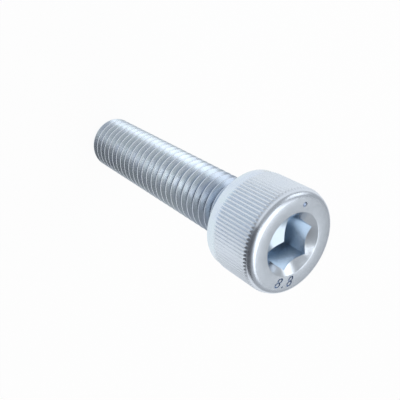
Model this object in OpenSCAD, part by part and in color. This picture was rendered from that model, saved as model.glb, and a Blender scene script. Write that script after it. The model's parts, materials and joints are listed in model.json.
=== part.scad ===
// Hexagon socket cap screw with a knurled head, threaded up to the head.
// Sizes are in millimetres. A screw with a round head rolls when it lies down, so this one stands
// on the flat end of its tip, with its head up and +Z along its axis.

/* [Thread] */
// Thread size, across the crests
thread_d = 8; // [6:0.1:9]
// Distance from one crest to the next
pitch = 1.25; // [1:0.05:1.75]
// Length under the head
length = 35; // [20:1:45]
// Length of the bevel at the tip
tip_bevel = 0.9; // [0.4:0.1:1.5]

/* [Neck] */
// Diameter of the plain neck under the head
neck_d = 7.2; // [6:0.1:7.8]
// Length of the plain neck
neck_len = 1.4; // [0.8:0.1:3]
// Fillet between the neck and the head
neck_fillet = 0.4; // [0.2:0.05:0.8]

/* [Head] */
// Diameter of the head without its ribs
head_d = 13; // [11:0.1:15]
// Height of the head
head_h = 8; // [7:0.1:10]
// Rounding of the edge round the face
face_round = 0.85; // [0.3:0.05:1.2]
// Rounding of the edge on the bearing side
foot_round = 0.35; // [0.1:0.05:0.6]

/* [Knurl] */
// Number of ribs round the head
rib_count = 88; // [60:1:100]
// Height of a rib from root to crest
rib_h = 0.18; // [0.08:0.01:0.3]
// Share of a rib's height that stands above the head's diameter
rib_rise = 0.7; // [0.2:0.05:1]
// Width of the smooth band between the ribs and the bearing face
band_w = 1.4; // [0.8:0.1:3]

/* [Socket] */
// Width of the hexagon across its flats
socket_af = 6.05; // [5:0.05:6.5]
// Depth of the hexagon's corners
socket_depth = 4.1; // [2.5:0.1:5]
// Diameter of the countersink at the socket's mouth
mouth_d = 8; // [7.6:0.1:9]
// Angle of the cone at the socket's floor
floor_angle = 120; // [90:5:150]
// Turn of the hexagon about the screw's axis
socket_turn = 12; // [0:1:60]

/* [Hidden] */
$fn = 96;
head_r = head_d / 2;
crest_r = head_r + rib_h * rib_rise;
root_r = crest_r - rib_h;
rib_end = head_h - band_w;
fade = 3 * (head_r - root_r);
total = head_h + length;

thread_r = thread_d / 2;
depth = 0.6134 * pitch;
// the four corners of one turn's section: foot and top of one flank, top and foot of the other
corner_r = [thread_r - depth, thread_r, thread_r, thread_r - depth];
corner_z = [-0.4167, -0.0625, 0.0625, 0.4167];
steps = 28;
runout = 1.5;
thread_from = head_h + neck_len;
turns = ceil((total - thread_from) / pitch) + 4;
crest_end = total - tip_bevel;

corner_radius = socket_af / 2 / cos(30);
floor_slope = tan(90 - floor_angle / 2);

// turned outline of the head: rounded edge at the face, ribs' height, band, rounded foot
module head_outline() {
    difference() {
        union() {
            square([crest_r, rib_end]);
            square([head_r, head_h]);
        }
        translate([crest_r - face_round, -1]) square([face_round + 1, face_round + 1]);
        translate([head_r - foot_round, head_h - foot_round]) square([foot_round + 1, foot_round + 1]);
    }
    intersection() {
        square([crest_r, head_h]);
        translate([crest_r - face_round, face_round]) circle(face_round);
    }
    intersection() {
        square([head_r, head_h]);
        translate([head_r - foot_round, head_h - foot_round]) circle(foot_round);
    }
}

// star whose teeth are the ribs, drawn past the crests, which the turned outline then cuts
module rib_section() {
    a = 360 / rib_count;
    tip_r = crest_r + rib_h / 2;
    polygon([for (i = [0 : rib_count - 1], t = [0, 1])
        let(r = t == 0 ? tip_r : root_r) [r * cos((i + t / 2) * a), r * sin((i + t / 2) * a)]]);
}

module head() {
    intersection() {
        rotate_extrude() head_outline();
        union() {
            translate([0, 0, -1]) linear_extrude(rib_end + 1) rib_section();
            // the grooves run out on this cone, so the band beside the bearing face is smooth
            rotate_extrude() polygon([[0, rib_end - fade], [root_r - fade / 6, rib_end - fade],
                [crest_r + 1, rib_end + fade], [crest_r + 1, head_h + 1], [0, head_h + 1]]);
        }
    }
}

module socket() {
    // countersink
    translate([0, 0, -1]) cylinder(r1 = mouth_d / 2 + 1, r2 = 0, h = mouth_d / 2 + 1);
    // hexagon with a conical floor
    intersection() {
        translate([0, 0, -1]) rotate([0, 0, socket_turn]) cylinder(r = corner_radius, h = head_h, $fn = 6);
        rotate_extrude() polygon([[0, -1], [corner_radius + 1, -1], [corner_radius + 1, socket_depth - floor_slope],
            [0, socket_depth + corner_radius * floor_slope]]);
    }
}

module neck() {
    translate([0, 0, head_h - 1]) cylinder(d = neck_d, h = neck_len + 1 + 0.3);
    // fillet under the head
    rotate_extrude() difference() {
        translate([0, head_h - 0.5]) square([neck_d / 2 + neck_fillet, neck_fillet + 0.5]);
        translate([neck_d / 2 + neck_fillet, head_h + neck_fillet]) circle(neck_fillet);
    }
}

// how far the thread has grown out of the neck after s steps, from 0 to 1
function grown(s) = min(1, max(0, (s / steps - 1) / runout));
function thread_point(s, c) = let(r = neck_d / 2 - 0.05 + (corner_r[c] - neck_d / 2 + 0.05) * grown(s),
        a = 360 * s / steps)
    [r * cos(a), r * sin(a), (s / steps + corner_z[c]) * pitch];

// one solid swept along the helix, closed at both ends by a fan to the axis
module thread_sweep() {
    last = turns * steps;
    low = 4 * (last + 1);
    points = concat([for (s = [0 : last], c = [0 : 3]) thread_point(s, c)],
        [[0, 0, -pitch], [0, 0, (turns + 1) * pitch]]);
    sides = [for (s = [0 : last - 1], c = [0 : 2]) each
        [[4 * s + c, 4 * s + c + 1, 4 * s + c + 5], [4 * s + c, 4 * s + c + 5, 4 * s + c + 4]]];
    roots = [for (s = [0 : last - steps - 1]) let(n = s + steps) each
        [[4 * s + 3, 4 * n, 4 * n + 4], [4 * s + 3, 4 * n + 4, 4 * s + 7]]];
    start = concat([for (s = [0 : steps - 1]) [low, 4 * s, 4 * s + 4]],
        [for (c = [0 : 2]) [low, c + 1, c]], [[low, 4 * steps, 3]]);
    end = concat([for (s = [last - steps : last - 1]) [low + 1, 4 * s + 7, 4 * s + 3]],
        [for (c = [0 : 2]) [low + 1, 4 * last + c, 4 * last + c + 1]],
        [[low + 1, 4 * (last - steps) + 3, 4 * last]]);
    polyhedron(points, concat(sides, roots, start, end));
}

module thread() {
    from = thread_from - 1.5 * pitch;
    spin = 360 * ((crest_end - from) / pitch - floor((crest_end - from) / pitch));
    // zeros keep the size; the trimmed thread becomes one closed mesh
    resize([0, 0, 0]) intersection() {
        translate([0, 0, from]) rotate([0, 0, 180 + spin]) thread_sweep();
        union() {
            translate([0, 0, thread_from]) cylinder(d = thread_d + 1, h = crest_end - thread_from);
            translate([0, 0, crest_end - 0.5]) cylinder(r1 = thread_r + 0.5, r2 = thread_r - tip_bevel,
                h = tip_bevel + 0.5, $fn = steps);
        }
    }
}

// the modules above measure from the head's face towards the tip, and the screw stands head up
module cap_screw() {
    color("lightsteelblue")
    translate([0, 0, total]) rotate([0, 180, 0]) {
        difference() {
            head();
            socket();
        }
        neck();
        thread();
    }
}

cap_screw();
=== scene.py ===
# %% [markdown]
# # A hexagon socket cap screw
# The imported model is loaded first. It is the fixed frame: the real size and the real place of
# the screw, which stands on the flat end of its tip with its head up. What is modelled here has
# to stay in the same box.

# %% Load the frame
import json
import math

import bpy
from mathutils import Matrix, Quaternion, Vector


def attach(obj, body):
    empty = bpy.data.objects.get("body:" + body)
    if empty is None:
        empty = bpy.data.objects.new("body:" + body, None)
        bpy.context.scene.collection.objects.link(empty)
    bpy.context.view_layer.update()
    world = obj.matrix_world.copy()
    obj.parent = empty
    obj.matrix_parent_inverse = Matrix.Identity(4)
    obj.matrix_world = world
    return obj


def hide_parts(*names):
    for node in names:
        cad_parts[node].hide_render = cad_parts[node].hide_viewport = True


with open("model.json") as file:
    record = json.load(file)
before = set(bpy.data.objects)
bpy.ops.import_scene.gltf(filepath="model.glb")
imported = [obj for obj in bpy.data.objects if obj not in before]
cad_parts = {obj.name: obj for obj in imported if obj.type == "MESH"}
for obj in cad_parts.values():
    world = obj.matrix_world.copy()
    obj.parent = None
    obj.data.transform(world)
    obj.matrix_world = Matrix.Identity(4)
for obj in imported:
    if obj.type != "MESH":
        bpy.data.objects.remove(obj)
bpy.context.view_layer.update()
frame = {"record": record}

# %% [markdown]
# ## Sizes
# A screw is turned, pressed and rolled about one axis, so it is easiest to draw upright on that
# axis in millimetres, with the face of the head at height 0 and the tip at the top. One matrix
# then shrinks it to metres and stands it on its tip. The head's height and the whole length come
# from the mounts in the frame; the rest are the sizes of the same screw's drawing. The rim is the
# circle on which the rounded edge ends: it lies just outside the bottom of the grooves.

# %% Sizes in millimetres
mounts = {mount["name"]: mount for mount in frame["record"]["mounts"]}
total = 1000 * mounts["hex_socket"]["pos_m"][2]
head_h = total - 1000 * mounts["bearing_face"]["pos_m"][2]
thread_r = mounts["thread"]["dims"]["r_mm"]
socket_depth = mounts["hex_socket"]["dims"]["length_mm"]
pitch = 1.25
thread_depth = 0.6134 * pitch
thread_root = thread_r - thread_depth
tip_bevel = 0.9
neck_r = 3.6
neck_len = 1.4
neck_end = head_h + neck_len
neck_fillet = 0.4
head_r = 6.5
face_round = 0.78
foot_round = 0.35
band_w = 1.4
rib_end = head_h - band_w
rib_count = 88
rib_h = 0.18
rib_rise = 0.7
crest_r = head_r + rib_rise * rib_h
root_r = crest_r - rib_h
rim_r = root_r + 0.02
mouth_r = 4.0
socket_af = 6.05
socket_turn = math.radians(12)
turned_over = Matrix.Rotation(math.pi, 4, "Y")
STAND_UP = Matrix.Translation((0, 0, total / 1000)) @ turned_over @ Matrix.Scale(0.001, 4)
print("length", total, "mm, of which the head is", head_h, "mm")

# %% [markdown]
# ## Drawing tools
# Most of the screw is turned work. On the bench that is one outline and a lathe; in Blender it is
# a chain of edges, drawn by extruding one corner from point to point, and the Spin operator.
# Where a turned shape ends on the axis, all the copies of that corner are merged into one pole.

# %% A chain of edges, and a turned solid
same_place = 1e-4


def clear_selection():
    if bpy.context.object and bpy.context.object.mode != "OBJECT":
        bpy.ops.object.mode_set(mode="OBJECT")
    bpy.ops.object.select_all(action="DESELECT")


def make_active(piece):
    clear_selection()
    piece.select_set(True)
    bpy.context.view_layer.objects.active = piece


def draw_line(name, points):
    clear_selection()
    bpy.ops.mesh.primitive_plane_add(size=1)
    line = bpy.context.object
    line.name = name
    bpy.ops.object.mode_set(mode="EDIT")
    bpy.ops.mesh.select_mode(type="VERT")
    bpy.ops.mesh.select_all(action="SELECT")
    bpy.ops.mesh.merge(type="CENTER")
    radius, height = points[0]
    bpy.ops.transform.translate(value=(radius, 0, height))
    for here, there in zip(points, points[1:]):
        step = (there[0] - here[0], 0, there[1] - here[1])
        bpy.ops.mesh.extrude_vertices_move(TRANSFORM_OT_translate={"value": step})
    return line


def close_up():
    bpy.ops.mesh.select_all(action="SELECT")
    bpy.ops.mesh.remove_doubles(threshold=same_place)
    bpy.ops.mesh.normals_make_consistent(inside=False)


def turn(name, outline, steps):
    piece = draw_line(name, outline)
    bpy.ops.mesh.select_all(action="SELECT")
    bpy.ops.mesh.spin(steps=steps, angle=math.tau, center=(0, 0, 0), axis=(0, 0, 1))
    close_up()
    bpy.ops.object.mode_set(mode="OBJECT")
    print(name, "is turned with", len(piece.data.polygons), "faces")
    return piece


def turn_about_axis(angle):
    bpy.ops.transform.rotate(value=angle, orient_axis="Z", center_override=(0, 0, 0))


def arc(radius, height, size, start, end, steps):
    angles = [math.radians(start + (end - start) * i / steps) for i in range(steps + 1)]
    return [(radius + size * math.cos(a), height + size * math.sin(a)) for a in angles]


def combine(piece, tool, operation):
    make_active(piece)
    change = piece.modifiers.new("change", "BOOLEAN")
    change.operation = operation
    change.solver = "MANIFOLD"
    change.object = tool
    bpy.ops.object.modifier_apply(modifier=change.name)
    bpy.data.objects.remove(tool)
    print(piece.name, operation.lower(), "leaves", len(piece.data.polygons), "faces")


# %% [markdown]
# ## The head
# The head is pressed from wire and has no sharp edge outside: a wide rounding round the face, a
# small one on the bearing side, and a fillet that runs into the neck. The outline starts at the
# point of the countersink's cone, goes over the face and down the side, and ends on the axis
# inside the thread, where the neck slopes down to the thread's roots. The ribbed part stands a
# little proud of the smooth band beside the bearing face, and slopes down to it.

# %% Turn the head's blank
edge_soft = 0.07
rib_start = face_round + 0.26
neck_slope = 0.45
fade = 3 * (head_r - root_r)
outline = [(0, mouth_r)]
outline += arc(mouth_r + 0.414 * edge_soft, edge_soft, edge_soft, -135, -90, 3)
outline += arc(rim_r - face_round, face_round, face_round, -90, 0, 12)
outline += [(crest_r, rib_start), (crest_r, rib_end - fade)]
outline += [(head_r + 0.03, rib_end + 0.8 * fade), (head_r, rib_end + 1.4 * fade)]
outline += arc(head_r - foot_round, head_h - foot_round, foot_round, 0, 90, 6)
outline += arc(neck_r + neck_fillet, head_h + neck_fillet, neck_fillet, 270, 180, 6)
outline += [(neck_r, neck_end)]
outline += [(thread_root - 0.1, neck_end + neck_slope), (0, neck_end + neck_slope)]
screw = turn("cap_screw_dressed", outline, 2 * rib_count)

# %% [markdown]
# ## The knurl
# The ribs are pressed in by a die, so each groove is a clean V with its own run-out. One groove's
# wedge is drawn as a triangle, extruded along the head, pulled up at its end so that the groove
# runs out, and copied round the axis. All the wedges then cut the blank in one go. They stop
# short of each other outside the head, because a cutter must not run through itself.

# %% Cut the grooves between the ribs
groove_half = 0.165
past_crest = 0.06
wedge_top = crest_r + past_crest
wedge_half = groove_half * (wedge_top - root_r) / rib_h
runout = 6
groove_end = rib_end - runout * (head_r - root_r)
groove_angle = math.pi / rib_count
clear_selection()
bpy.ops.mesh.primitive_circle_add(vertices=3, radius=1, fill_type="NGON", location=(0, 0, -1))
wedge = bpy.context.object
corners = [(root_r, 0), (wedge_top, -wedge_half), (wedge_top, wedge_half)]
for corner, (x, y) in zip(wedge.data.vertices, corners):
    corner.co = (x, y, 0)
bpy.ops.object.transform_apply(location=True)
bpy.ops.object.mode_set(mode="EDIT")
bpy.ops.mesh.select_all(action="SELECT")
bpy.ops.mesh.extrude_region_move(TRANSFORM_OT_translate={"value": (0, 0, 1 + groove_end)})
bpy.ops.object.mode_set(mode="OBJECT")
for corner in wedge.data.vertices:
    if corner.co.z > 0 and corner.co.x > root_r + 0.01:
        corner.co.z += runout * (wedge_top - root_r)
bpy.ops.object.mode_set(mode="EDIT")
for i in range(1, rib_count):
    bpy.ops.mesh.select_all(action="DESELECT")
    bpy.ops.object.mode_set(mode="OBJECT")
    for corner in wedge.data.vertices[:6]:
        corner.select = True
    bpy.ops.object.mode_set(mode="EDIT")
    bpy.ops.mesh.duplicate()
    turn_about_axis(math.tau * i / rib_count)
bpy.ops.mesh.select_all(action="SELECT")
turn_about_axis(groove_angle)
bpy.ops.mesh.normals_make_consistent(inside=False)
bpy.ops.object.mode_set(mode="OBJECT")
combine(screw, wedge, "DIFFERENCE")

# %% [markdown]
# ## The thread
# A rolled thread is one section swept along a helix. The section here is a single pitch of the
# real profile, 60 degree flanks with a rounded root and softly rounded crests, and the Screw
# modifier sweeps it with one pitch of rise a turn, so each turn ends exactly where the next one
# starts and the seam can be merged. A turned envelope then trims both ends: the bevel at the tip,
# and the run-out where the thread dies away on the neck.

# %% Sweep the thread
root_size = 0.18
crest_half = 0.066
crest_soft = 0.04
crest_z = crest_half - 0.577 * crest_soft
foot_z = pitch / 2
section = arc(thread_root + root_size, -foot_z, root_size, 180, 120, 3)
section += arc(thread_r - crest_soft, -crest_z, crest_soft, -60, 0, 2)
section += arc(thread_r - crest_soft, crest_z, crest_soft, 0, 60, 2)
section += arc(thread_root + root_size, foot_z, root_size, 240, 180, 3)
turns = math.ceil((total - head_h) / pitch) + 3
first_crest = total - tip_bevel - turns * pitch + 2 * pitch
# read from where the crests lie in the photo
thread_turn = math.radians(-19)
thread = draw_line("thread", [(radius, first_crest + z) for radius, z in section])
bpy.ops.object.mode_set(mode="OBJECT")
sweep = thread.modifiers.new("sweep", "SCREW")
sweep.axis = "Z"
sweep.angle = math.tau
sweep.screw_offset = pitch
sweep.iterations = turns
sweep.steps = sweep.render_steps = 96
bpy.ops.object.modifier_apply(modifier=sweep.name)
bpy.ops.object.mode_set(mode="EDIT")
close_up()
bpy.ops.mesh.select_all(action="SELECT")
turn_about_axis(thread_turn)
for cut_at, from_below in ((head_h - 0.5, True), (total + 0.3, False)):
    bpy.ops.mesh.select_all(action="SELECT")
    bpy.ops.mesh.bisect(
        plane_co=(0, 0, cut_at), plane_no=(0, 0, 1), use_fill=True,
        clear_inner=from_below, clear_outer=not from_below, threshold=1e-5)
close_up()
bpy.ops.object.mode_set(mode="OBJECT")
print("the thread has", len(thread.data.polygons), "faces in", turns, "turns")

# %% Trim its ends and join it to the head
over = 0.2
hidden_r = neck_r - 0.05
hidden_z = head_h - 0.3
grows_from = neck_end - 0.5
grows_to = neck_end + 1.0
envelope = turn("envelope", [
    (0, hidden_z), (hidden_r, hidden_z), (hidden_r, grows_from),
    (thread_r + over, grows_to), (thread_r + over, total - tip_bevel - over),
    (thread_r - tip_bevel, total), (0, total)], 96)
combine(thread, envelope, "INTERSECT")
combine(screw, thread, "UNION")

# %% [markdown]
# ## The socket
# The hexagon is punched into the blank after the countersink. The punch is a six-sided cylinder,
# turned to where the photo shows its corners, and a cone gives the socket's floor the shape that
# a drill leaves. The countersink is already in the head's outline, so where the hexagon's walls
# meet its cone they leave six shallow scallops by themselves.

# %% Punch the hexagon
floor_slope = math.tan(math.radians(30))
corner_r = socket_af / 2 / math.cos(math.radians(30))
punch_h = 12
clear_selection()
bpy.ops.mesh.primitive_cylinder_add(vertices=6, radius=corner_r, depth=punch_h, location=(0, 0, 0))
punch = bpy.context.object
# a cylinder's first corner is on +Y
punch.rotation_euler.z = socket_turn - math.pi / 2
bpy.ops.object.transform_apply(location=True, rotation=True)
drill = turn("drill", [
    (0, -1), (corner_r + 1, -1), (corner_r + 1, socket_depth - floor_slope),
    (0, socket_depth + corner_r * floor_slope)], 96)
combine(punch, drill, "INTERSECT")
combine(screw, punch, "DIFFERENCE")

# %% [markdown]
# ## The stamped mark
# A screw's head often carries a plain number, pressed in by a die. The digits are cut from plain
# letters, each turned so that its foot points away from the socket, and a single punch dot sits
# across from them.

# %% Stamp the number
number_r = 4.92
digit_size = 1.9
slant = 0.3
stamp_depth = 0.15


def stamp(character, angle):
    clear_selection()
    bpy.ops.object.text_add()
    letter = bpy.context.object
    letter.data.body = character
    letter.data.size = digit_size
    letter.data.shear = slant
    letter.data.align_x = "CENTER"
    letter.data.align_y = "CENTER"
    letter.data.extrude = stamp_depth
    letter.data.resolution_u = 4
    bpy.ops.object.convert(target="MESH")
    letter = bpy.context.object
    # seen from outside, the letter's top points at the axis
    place = Matrix.Rotation(math.radians(angle), 4, "Z") @ Matrix.Translation((number_r, 0, 0))
    letter.matrix_world = place @ Matrix.Rotation(math.pi / 2, 4, "Z") @ turned_over
    bpy.ops.object.transform_apply(location=True, rotation=True, scale=True)
    bpy.ops.object.mode_set(mode="EDIT")
    close_up()
    bpy.ops.object.mode_set(mode="OBJECT")
    combine(screw, letter, "DIFFERENCE")


number_at = -165
spread = 11
for character, turned_by in (("8", spread), (".", 0), ("8", -spread)):
    stamp(character, number_at + turned_by)

# %% One punch dot across from it
dot_at = math.radians(16)
dot_r = 4.9
ball_r = 0.36
ball_z = -0.16
clear_selection()
bpy.ops.mesh.primitive_uv_sphere_add(
    segments=24, ring_count=12, radius=ball_r,
    location=(dot_r * math.cos(dot_at), dot_r * math.sin(dot_at), ball_z))
combine(screw, bpy.context.object, "DIFFERENCE")

# %% [markdown]
# ## Stand it up
# The finished piece is stood on its tip, shrunk to metres and given its place for good, so that
# its object is unturned and unscaled. The cuts leave some pairs of corners less than a thousandth
# of a millimetre apart, with slivers between them, so such pairs are merged. Faces that meet at a
# shallow angle are shaded as one smooth surface, and the true edges stay crisp.

# %% Place the screw in the frame
sliver = 1e-6
crisp = math.radians(28)
make_active(screw)
screw.matrix_world = STAND_UP
bpy.ops.object.transform_apply(location=True, rotation=True, scale=True)
bpy.ops.object.mode_set(mode="EDIT")
bpy.ops.mesh.select_all(action="SELECT")
bpy.ops.mesh.remove_doubles(threshold=sliver)
bpy.ops.object.mode_set(mode="OBJECT")
bpy.ops.object.shade_smooth_by_angle(angle=crisp)
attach(screw, "root")
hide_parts("cap_screw")
print("the screw has", len(screw.data.vertices), "corners and", len(screw.data.polygons), "faces")

# %% [markdown]
# ## Zinc plating
# Bright zinc is a thin blue-white metal coat. It is never one colour: its passive layer drifts
# between blue, lilac and a little green. Shade is painted into its colour too: darker at the thread's
# roots, between the ribs, in the stamped number, under the head and down in the socket. Crests
# are rubbed brighter. All of these follow the screw's own form, so they are driven by the distance
# from the axis and the height, which the Object coordinates give in metres.

# %% Small node helpers
def add(tree, kind, **inputs):
    node = tree.nodes.new(kind)
    for name, value in inputs.items():
        node.inputs[name.replace("_", " ")].default_value = value
    return node


def link(tree, source, target):
    tree.links.new(source, target)


def math_node(tree, operation, first, second):
    node = tree.nodes.new("ShaderNodeMath")
    node.operation = operation
    for socket, value in zip(node.inputs, (first, second)):
        if isinstance(value, (int, float)):
            socket.default_value = value
        else:
            link(tree, value, socket)
    return node.outputs[0]


def ramp_between(tree, value, start, end):
    node = add(tree, "ShaderNodeMapRange", From_Min=start, From_Max=end)
    node.interpolation_type = "SMOOTHSTEP"
    link(tree, value, node.inputs["Value"])
    return node.outputs["Result"]


def new_group(name, takes, gives):
    group = bpy.data.node_groups.new(name, "ShaderNodeTree")
    for title, kind in takes:
        group.interface.new_socket(title, in_out="INPUT", socket_type=kind)
    for title, kind in gives:
        group.interface.new_socket(title, in_out="OUTPUT", socket_type=kind)
    print("node group", name, "gives", [title for title, kind in gives])
    return group, group.nodes.new("NodeGroupInput"), group.nodes.new("NodeGroupOutput")


# %% [markdown]
# ### Where the metal is rubbed, and where shade is painted
# One group turns the place of a point into masks. In this frame the head's face is at the top, so
# a height in the drawing counts down from the whole length. Each mask is a product of soft steps
# in the height and in the distance from the axis, and where two overlap the larger one counts.

# %% Soft steps in height and radius
masks, given, result = new_group(
    "screw_masks", [("Millimetres", "NodeSocketVector")],
    [("Rubbed", "NodeSocketFloat"), ("Thin", "NodeSocketFloat"), ("Recess", "NodeSocketFloat"),
     ("Face", "NodeSocketFloat"), ("Rolled", "NodeSocketFloat")])
flat = masks.nodes.new("ShaderNodeVectorMath")
flat.operation = "MULTIPLY"
flat.inputs[1].default_value = (1, 1, 0)
link(masks, given.outputs[0], flat.inputs[0])
length = masks.nodes.new("ShaderNodeVectorMath")
length.operation = "LENGTH"
link(masks, flat.outputs[0], length.inputs[0])
split = masks.nodes.new("ShaderNodeSeparateXYZ")
link(masks, given.outputs[0], split.inputs[0])


def by_radius(start, end):
    return ramp_between(masks, length.outputs["Value"], start, end)


def by_height(start, end):
    return ramp_between(masks, split.outputs["Z"], total - start, total - end)


def chain(operation, values):
    so_far = values[0]
    for value in values[1:]:
        so_far = math_node(masks, operation, so_far, value)
    return so_far


def times(*values):
    return chain("MULTIPLY", values)


def largest(*values):
    return chain("MAXIMUM", values)


# %% [markdown]
# The first masks are places: the shank, the ribs and the rounded edge. Rubbed is then the crests
# of the thread and, far less, the tops of the ribs.

# %% Places, and what is rubbed
rub_on_ribs = 0.1
flat_end = rim_r - face_round
on_shank = by_height(head_h + 0.1, head_h + 0.3)
on_ribs = by_height(rib_end, rib_end - 0.5)
on_edge = times(by_radius(flat_end, flat_end + 0.2), by_height(face_round + 0.2, face_round))
crests = times(on_shank, by_radius(thread_r - 0.08, thread_r - 0.01))
rib_tops = times(on_ribs, by_radius(root_r + 0.1, crest_r - 0.01), rub_on_ribs)
link(masks, largest(crests, rib_tops), result.inputs["Rubbed"])
print("rubbed: the crests, and the ribs'", rub_on_ribs)

# %% [markdown]
# Shade is painted at the thread's roots, in the stamped number, on the neck and, more and more, on
# the turns near the head, which the head shades. The grooves and the rounded edge get only a trace
# of it. The same mask also makes the coat a little duller.

# %% Where shade is painted, and the coat is duller
shade_and_dull_shares = {"roots": 0.5, "turns": 0.5, "neck": 0.8, "grooves": 0.02, "edge": 0.12}
roots = times(on_shank, by_radius(thread_r - 0.12, thread_root + 0.1), shade_and_dull_shares["roots"])
turns_near_head = times(by_height(head_h + 12, head_h + 3), shade_and_dull_shares["turns"])
neck = times(by_height(neck_end, head_h + 0.7 * neck_len), shade_and_dull_shares["neck"])
near_head = times(on_shank, largest(turns_near_head, neck))
grooves = times(on_ribs, by_radius(root_r + 0.1, root_r), shade_and_dull_shares["grooves"])
pressed = times(
    by_height(0.02, 0.09), by_height(0.5, 0.4),
    by_radius(flat_end, flat_end - 0.06), by_radius(mouth_r + 0.05, mouth_r + 0.12))
edge = times(on_edge, shade_and_dull_shares["edge"])
# painted shade: this mask darkens and blues the colour at the roots, in the number, on the neck, on the
# turns near the head, in the grooves and on the rounded edge; it also raises the roughness
link(masks, largest(roots, near_head, grooves, pressed, edge), result.inputs["Thin"])
print("thin:", shade_and_dull_shares)

# %% [markdown]
# The socket's mask follows the depth of the socket, where shade is painted. Face is the pressed head,
# which is a little greyer than the thread. Rolled is what a die has rolled, the thread and the ribs,
# and the rounded edge with them: all of it is a little duller than the face.

# %% The socket's depth, the pressed head, and what is rolled
grey_on_ribs = 0.8
dull_on_ribs = 2.4
in_socket = times(by_radius(corner_r + 0.05, corner_r), by_height(head_h, head_h - 0.5))
# painted shade: the socket's colour darkens with its depth
link(masks, times(in_socket, by_height(0.9, 3.4)), result.inputs["Recess"])
on_face = by_height(4.5, 0.8)
link(masks, largest(on_face, times(on_ribs, grey_on_ribs)), result.inputs["Face"])
ribbed = times(on_ribs, by_radius(rim_r - 0.05, rim_r + 0.05), dull_on_ribs)
link(masks, largest(on_shank, ribbed, on_edge), result.inputs["Rolled"])
print("the group has", len(masks.nodes), "nodes")

# %% [markdown]
# ### The coat's colour
# A slow noise chooses between four tints that are close together. The masks then pull it greyer on
# the head, lighter where it is rubbed, darker and bluer as painted shade in the roots, grooves, number
# and under the head, and darker as painted shade down in the socket, one layer over the other.

# %% Tint
tint, given, result = new_group(
    "zinc_tint", [("Millimetres", "NodeSocketVector"), ("Rubbed", "NodeSocketFloat"),
                  ("Thin", "NodeSocketFloat"), ("Recess", "NodeSocketFloat"), ("Face", "NodeSocketFloat")],
    [("Color", "NodeSocketColor")])
drift = add(tint, "ShaderNodeTexNoise", Scale=0.35, Detail=4.0, Roughness=0.55, Distortion=0.6)
link(tint, given.outputs["Millimetres"], drift.inputs["Vector"])
tints = tint.nodes.new("ShaderNodeValToRGB")
first, last = tints.color_ramp.elements
first.position = 0.30
first.color = (0.62, 0.72, 0.86, 1)
last.position = 0.70
last.color = (0.73, 0.79, 0.90, 1)
tints.color_ramp.elements.new(0.44).color = (0.69, 0.78, 0.89, 1)
tints.color_ramp.elements.new(0.57).color = (0.69, 0.80, 0.87, 1)
link(tint, drift.outputs[0], tints.inputs[0])
color = tints.outputs["Color"]
# the last two layers are painted shade: darker and bluer at the roots, grooves, number, under the head and
# on the rounded edge, and darker down in the socket
layers = {
    "Face": (0.73, 0.793, 0.873, 1),
    "Rubbed": (0.76, 0.83, 0.91, 1),
    "Thin": (0.33, 0.41, 0.56, 1),
    "Recess": (0.515, 0.605, 0.70, 1)}
for name, layer in layers.items():
    mix = tint.nodes.new("ShaderNodeMix")
    mix.data_type = "RGBA"
    mix.inputs["B"].default_value = layer
    link(tint, given.outputs[name], mix.inputs["Factor"])
    link(tint, color, mix.inputs["A"])
    color = mix.outputs["Result"]
link(tint, color, result.inputs["Color"])

# %% [markdown]
# ### The fine surface
# Plating covers the steel's grain but doesn't hide it. A fine noise, with a coarser dimpling under
# it, moves the roughness a little and makes the bump. The coat is duller where shade is painted and
# where a die has rolled it.

# %% Grain
grain, given, result = new_group(
    "zinc_grain", [("Millimetres", "NodeSocketVector"), ("Thin", "NodeSocketFloat"),
                   ("Rolled", "NodeSocketFloat")],
    [("Roughness", "NodeSocketFloat"), ("Height", "NodeSocketFloat")])
fine = add(grain, "ShaderNodeTexNoise", Scale=7.0, Detail=3.0, Roughness=0.6)
coarse = add(grain, "ShaderNodeTexNoise", Scale=1.3, Detail=2.0, Roughness=0.5)
link(grain, given.outputs["Millimetres"], fine.inputs["Vector"])
link(grain, given.outputs["Millimetres"], coarse.inputs["Vector"])
dimples = math_node(grain, "MULTIPLY", coarse.outputs[0], 2.0)
both = math_node(grain, "ADD", fine.outputs[0], dimples)
link(grain, both, result.inputs["Height"])
dull = add(grain, "ShaderNodeMapRange", From_Min=0.8, From_Max=2.2, To_Min=0.18, To_Max=0.26)
link(grain, both, dull.inputs["Value"])
roughness = dull.outputs["Result"]
for name, share in (("Thin", 0.08), ("Rolled", 0.06)):
    more = math_node(grain, "MULTIPLY", given.outputs[name], share)
    roughness = math_node(grain, "ADD", roughness, more)
link(grain, roughness, result.inputs["Roughness"])

# %% Put the material together
grain_height = 0.0000012
zinc = bpy.data.materials.new("bright_zinc")
zinc.use_nodes = True
tree = zinc.node_tree
shader = tree.nodes["Principled BSDF"]
shader.inputs["Metallic"].default_value = 1.0
where = tree.nodes.new("ShaderNodeTexCoord")
in_mm = tree.nodes.new("ShaderNodeVectorMath")
in_mm.operation = "MULTIPLY"
in_mm.inputs[1].default_value = (1000, 1000, 1000)
link(tree, where.outputs["Object"], in_mm.inputs[0])
used = {}
for group in (masks, tint, grain):
    node = tree.nodes.new("ShaderNodeGroup")
    node.node_tree = group
    used[group.name] = node
    link(tree, in_mm.outputs[0], node.inputs["Millimetres"])
for name in layers:
    link(tree, used["screw_masks"].outputs[name], used["zinc_tint"].inputs[name])
for name in ("Thin", "Rolled"):
    link(tree, used["screw_masks"].outputs[name], used["zinc_grain"].inputs[name])
link(tree, used["zinc_tint"].outputs["Color"], shader.inputs["Base Color"])
link(tree, used["zinc_grain"].outputs["Roughness"], shader.inputs["Roughness"])
bump = add(tree, "ShaderNodeBump", Strength=1.0, Distance=grain_height)
link(tree, used["zinc_grain"].outputs["Height"], bump.inputs["Height"])
link(tree, bump.outputs["Normal"], shader.inputs["Normal"])
screw.data.materials.clear()
screw.data.materials.append(zinc)
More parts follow.
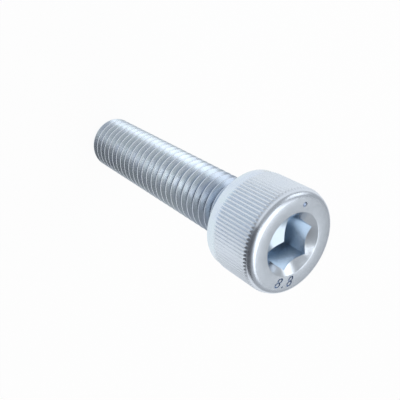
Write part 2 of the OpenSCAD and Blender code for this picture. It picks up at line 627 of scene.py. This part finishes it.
print("material", zinc.name, "uses", sorted(used))

# %% [markdown]
# ## Floor
# The screw stands on white paper. To the camera and in reflections the paper is mostly its own
# plain white, so the background is white without more light on the screw, and a small share of
# real shading keeps the soft shadow at the tip.

# %% White paper
own_white = 0.94
clear_selection()
bpy.ops.mesh.primitive_plane_add(size=2)
floor = bpy.context.object
floor.name = "floor"
paper = bpy.data.materials.new("white_paper")
paper.use_nodes = True
tree = paper.node_tree
output = tree.nodes["Material Output"]
shader = tree.nodes["Principled BSDF"]
shader.inputs["Base Color"].default_value = (0.95, 0.95, 0.95, 1)
shader.inputs["Roughness"].default_value = 0.9
glow = add(tree, "ShaderNodeEmission", Color=(1, 1, 1, 1), Strength=1.0)
path = tree.nodes.new("ShaderNodeLightPath")
seen = math_node(tree, "MAXIMUM", path.outputs["Is Camera Ray"], path.outputs["Is Glossy Ray"])
share = math_node(tree, "MULTIPLY", seen, own_white)
mix = tree.nodes.new("ShaderNodeMixShader")
link(tree, share, mix.inputs[0])
link(tree, shader.outputs[0], mix.inputs[1])
link(tree, glow.outputs[0], mix.inputs[2])
link(tree, mix.outputs[0], output.inputs["Surface"])
floor.data.materials.append(paper)
print("the floor shows", own_white, "of its own white")

# %% [markdown]
# ## Light
# Metal shows what stands round it. The studio here is a grey room, a little brighter over the side
# that the face of the head reflects, and dark on one side of the camera. Three soft lamps do the
# rest: a large one overhead makes the white ring on the rounded edge, a small strip on the camera's
# side makes the bright patches on the thread's flanks and on the countersink, and a window across
# from the strip makes the long highlight down the thread. A black card darkens the rounded edge
# from below.

# %% A room that brightens and darkens by direction
world = bpy.data.worlds.new("studio")
bpy.context.scene.world = world
world.use_nodes = True
tree = world.node_tree
background = tree.nodes["Background"]
background.inputs["Color"].default_value = (0.98, 0.99, 1, 1)
looking = tree.nodes.new("ShaderNodeTexCoord")


def patch(direction, edge, core, strength):
    toward = tree.nodes.new("ShaderNodeVectorMath")
    toward.operation = "DOT_PRODUCT"
    toward.inputs[1].default_value = Vector(direction).normalized()
    link(tree, looking.outputs["Generated"], toward.inputs[0])
    soft = ramp_between(tree, toward.outputs["Value"], edge, core)
    return math_node(tree, "MULTIPLY", soft, strength)


room = 0.48
bright = patch((0.52, 0.42, 0.74), edge=0.945, core=0.985, strength=0.15)
dark = patch((0.30, -0.93, -0.20), edge=0.38, core=0.74, strength=0.74)
light = math_node(tree, "ADD", room, bright)
light = math_node(tree, "MULTIPLY", light, math_node(tree, "SUBTRACT", 1.0, dark))
link(tree, light, background.inputs["Strength"])
print("the room's strength is", room)


# %% Soft lamps
def softbox(name, at, turned, width, height, radiance):
    data = bpy.data.lights.new(name, "AREA")
    data.shape = "RECTANGLE"
    data.size = width
    data.size_y = height
    # a square metre that sends out pi watts looks as bright as white paper
    data.energy = radiance * math.pi * width * height
    lamp = bpy.data.objects.new(name, data)
    bpy.context.scene.collection.objects.link(lamp)
    lamp.location = at
    lamp.rotation_mode = "QUATERNION"
    lamp.rotation_quaternion = turned
    lamp.visible_camera = False
    print(name, "sends out", round(data.energy, 3), "W")


def facing_down(degrees):
    return Quaternion((0, 0, 1), math.radians(degrees))


softbox("overhead", (0.0615, 0.048, 0.343), facing_down(35), width=0.414, height=0.297, radiance=1.20)
softbox("strip", (-0.118, -0.181, 0.343), facing_down(-33), width=0.14, height=0.04, radiance=2.0)
window_at = Vector((-0.176, 0.192, 0.185))
to_screw = Vector((0, 0, 0.03)) - window_at
softbox("window", window_at, to_screw.to_track_quat("-Z", "Y"), width=0.20, height=0.14, radiance=1.12)

# %% The black card
card_at = (0.04, -0.062, 0.04)
card_size = (0.16, 0.08, 1)
clear_selection()
bpy.ops.mesh.primitive_plane_add(size=1, location=card_at)
card = bpy.context.object
card.name = "black_card"
card.rotation_euler.x = math.pi / 2
card.scale = card_size
bpy.ops.object.transform_apply(location=True, rotation=True, scale=True)
card.visible_camera = False
card.visible_diffuse = False
card.visible_shadow = False
felt = bpy.data.materials.new("black_felt")
felt.use_nodes = True
shader = felt.node_tree.nodes["Principled BSDF"]
shader.inputs["Base Color"].default_value = (0.18, 0.18, 0.19, 1)
shader.inputs["Roughness"].default_value = 0.95
card.data.materials.append(felt)
print(card.name, "stands at", card_at)

# %% [markdown]
# ## Camera
# The camera looks down at the standing screw and is turned about its own axis, so in the picture
# the screw lies with its tip to the left, as in the photo. Place, aim, lens and turn were fitted to
# the outline, the socket and the thread's crests.

# %% Camera
camera_at = Vector((-0.033301, -0.042989, 0.083733))
aim = Vector((0.000793, -0.000638, 0.025812))
roll = math.radians(120.558)
camera = bpy.data.objects.new("camera", bpy.data.cameras.new("camera"))
bpy.context.scene.collection.objects.link(camera)
camera.data.lens = 52.959
camera.data.sensor_width = 36
camera.data.clip_start = 0.001
camera.location = camera_at
camera.rotation_mode = "QUATERNION"
camera.rotation_quaternion = (aim - camera_at).to_track_quat("-Z", "Y") @ Quaternion((0, 0, 1), roll)
bpy.context.scene.camera = camera
bpy.context.scene.view_settings.view_transform = "Standard"
print("the camera is", round((camera_at - aim).length, 3), "m from where it looks")
